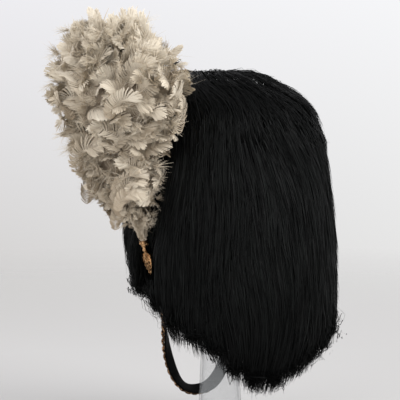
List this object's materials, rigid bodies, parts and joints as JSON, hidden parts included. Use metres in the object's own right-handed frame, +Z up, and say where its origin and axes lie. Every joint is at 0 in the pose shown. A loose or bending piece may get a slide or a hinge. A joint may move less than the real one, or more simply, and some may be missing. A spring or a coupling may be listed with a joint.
{
  "type": "bearskin hat on a clear stand",
  "caption": "Tall bearskin hat with a large cream feather plume in a gilt socket at its left side and a leather chin strap faced with curb chain, held up by a plain clear stand.",
  "frame": {"origin": "centre of the stand base's underside, on the stand's axis", "axes": "+Z up; the hat's front faces -Y and the wearer's left, the plume's side, is +X"},
  "size_m": [0.4104, 0.3383, 0.5855],
  "materials": {
    "hide": "dark undyed hide, matt",
    "black_fur": "long black fur with a soft gloss",
    "cream_feather": "soft cream feathers",
    "gilt": "worn gilt, satin",
    "black_leather": "black polished leather",
    "bronze": "darkened gilding metal, worn bright on the links' backs",
    "clear_acrylic": "clear polished acrylic"
  },
  "bodies": {
    "root": {"cap_wall": "hide", "fur": "black_fur", "plume": "cream_feather", "plume_socket": "gilt", "chin_strap": "black_leather", "curb_chain": "bronze", "stand_post": "clear_acrylic", "stand_base": "clear_acrylic", "stand_top": "clear_acrylic"}
  },
  "joints": []
}
